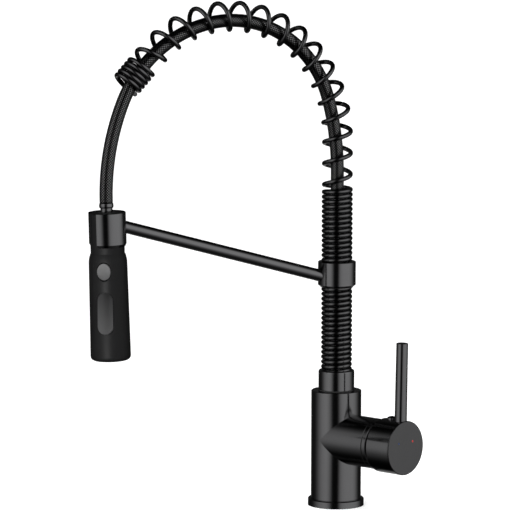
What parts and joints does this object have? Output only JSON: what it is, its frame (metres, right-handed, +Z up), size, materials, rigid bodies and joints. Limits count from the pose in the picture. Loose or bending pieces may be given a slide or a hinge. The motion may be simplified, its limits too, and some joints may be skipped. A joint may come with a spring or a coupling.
{
  "type": "pull down kitchen faucet",
  "caption": "Tall black kitchen faucet: open spring spout over a braided hose, docking arm with a C-shaped cup, pull down spray head with two buttons, and a side lever mixer.",
  "frame": {"origin": "centre of the base flange's underside, on the riser's axis, in the deck plane", "axes": "+Z up along the riser, -X towards the spray head in the plane of the arch, +Y to the side away from the mixer branch"},
  "size_m": [0.2962, 0.1115, 0.4636],
  "materials": {
    "black_coated_brass": "polished black coating",
    "black_coated_steel": "polished black coating",
    "black_spring_steel": "polished black coating",
    "black_nylon_braid": "fine woven sleeve",
    "hose_rubber": "matte",
    "raw_brass": "machined",
    "stainless_steel": "machined",
    "bearing_plastic": "moulded",
    "cartridge_plastic": "moulded",
    "ceramic": "lapped",
    "matte_black_head": "matte",
    "face_plastic": "satin",
    "dark_silicone": "matte",
    "satin_button": "satin metallic",
    "rocker_plastic": "satin",
    "red_mark": "gloss",
    "blue_mark": "gloss"
  },
  "bodies": {
    "base": {"base_flange": "black_coated_brass", "base_gasket": "hose_rubber", "faucet_body": "black_coated_brass", "swivel_bush": "bearing_plastic", "swivel_washer": "cartridge_plastic", "cartridge_housing": "cartridge_plastic", "cartridge_seals": "hose_rubber", "fixed_ceramic_disc": "ceramic", "cartridge_nut": "raw_brass", "trim_ring": "black_coated_brass", "bonnet_dome": "black_coated_brass"},
    "spout": {"spout_spigot": "raw_brass", "spigot_seals": "hose_rubber", "swivel_clip": "bearing_plastic", "neck_collar": "black_coated_brass", "riser_tube": "stainless_steel", "hose_tail_fitting": "raw_brass", "riser_spring": "black_spring_steel", "arch_spring": "black_spring_steel", "hose_braid": "black_nylon_braid", "hose_liner": "hose_rubber", "bracket_ring": "black_coated_brass", "bracket_bush": "bearing_plastic", "bracket_grub_screw": "stainless_steel", "arm_rod": "black_coated_steel", "dock_clip": "black_coated_brass"},
    "hose_end": {"hose_ferrule": "black_coated_steel", "hose_nut": "black_coated_steel"},
    "spray_head": {"spray_shell": "matte_black_head", "neck_insert": "bearing_plastic", "check_valve": "cartridge_plastic", "valve_core": "cartridge_plastic", "rocker_pin": "stainless_steel", "spray_face": "face_plastic", "nozzle_tips": "dark_silicone", "aerator": "cartridge_plastic", "face_seal": "hose_rubber", "water_guide": "cartridge_plastic"},
    "spray_button": {"round_button": "satin_button", "button_spring": "stainless_steel"},
    "spray_rocker": {"rocker_button": "rocker_plastic"},
    "diverter": {"diverter_spool": "cartridge_plastic"},
    "temperature": {"cartridge_rotor": "bearing_plastic", "stem_pin": "stainless_steel"},
    "disc": {"moving_ceramic_disc": "ceramic", "disc_carrier": "bearing_plastic"},
    "lever": {"cartridge_stem": "stainless_steel", "handle_hub": "black_coated_brass", "handle_lever": "black_coated_steel", "hub_screw": "stainless_steel", "hub_screw_cap": "black_coated_steel", "hub_face_plate": "black_coated_brass", "hot_mark": "red_mark", "cold_mark": "blue_mark"}
  },
  "joints": [
    {"name": "spout_swivel", "type": "hinge", "parent": "base", "child": "spout", "pos_m": [0, 0, 0.1], "axis": [0, 0, 1], "continuous": true},
    {"name": "head_pull", "type": "slide", "parent": "spout", "child": "hose_end", "axis": [0.0279, 0, -0.9996], "range_m": [0, 0.1], "stiffness_N_per_m": 60, "springref_m": -0.05, "deforming": ["arch_spring", "hose_braid", "hose_liner"]},
    {"name": "head_spin", "type": "hinge", "parent": "hose_end", "child": "spray_head", "pos_m": [-0.22263, 0, 0.28697], "axis": [-0.0279, 0, 0.9996], "continuous": true},
    {"name": "button_press", "type": "slide", "parent": "spray_head", "child": "spray_button", "axis": [0.5444, 0.8387, 0.0152], "range_m": [0, 0.0015], "stiffness_N_per_m": 400, "springref_m": -0.002},
    {"name": "rocker_tilt", "type": "hinge", "parent": "spray_head", "child": "spray_rocker", "pos_m": [-0.227, -0.0109, 0.19001], "axis": [0.8383, -0.5446, 0.0234], "range_deg": [0, 6]},
    {"name": "diverter_slide", "type": "slide", "parent": "spray_head", "child": "diverter", "axis": [-0.0279, 0, 0.9996], "range_m": [0, 0.00107]},
    {"name": "temperature", "type": "hinge", "parent": "base", "child": "temperature", "pos_m": [0, 0, 0.0622], "axis": [0.4305, -0.9026, 0], "range_deg": [-50, 50]},
    {"name": "lever_lift", "type": "hinge", "parent": "temperature", "child": "lever", "pos_m": [0.02066, -0.04332, 0.0622], "axis": [0.9026, 0.4305, 0], "range_deg": [0, 20]},
    {"name": "disc_slide", "type": "slide", "parent": "temperature", "child": "disc", "axis": [0, 0, 1], "range_m": [0, 0.0026]}
  ],
  "couplings": [
    {"joint": "rocker_tilt", "follows": "diverter_slide", "rad_per_m": 97.087},
    {"joint": "disc_slide", "follows": "lever_lift", "m_per_rad": 0.00686}
  ]
}
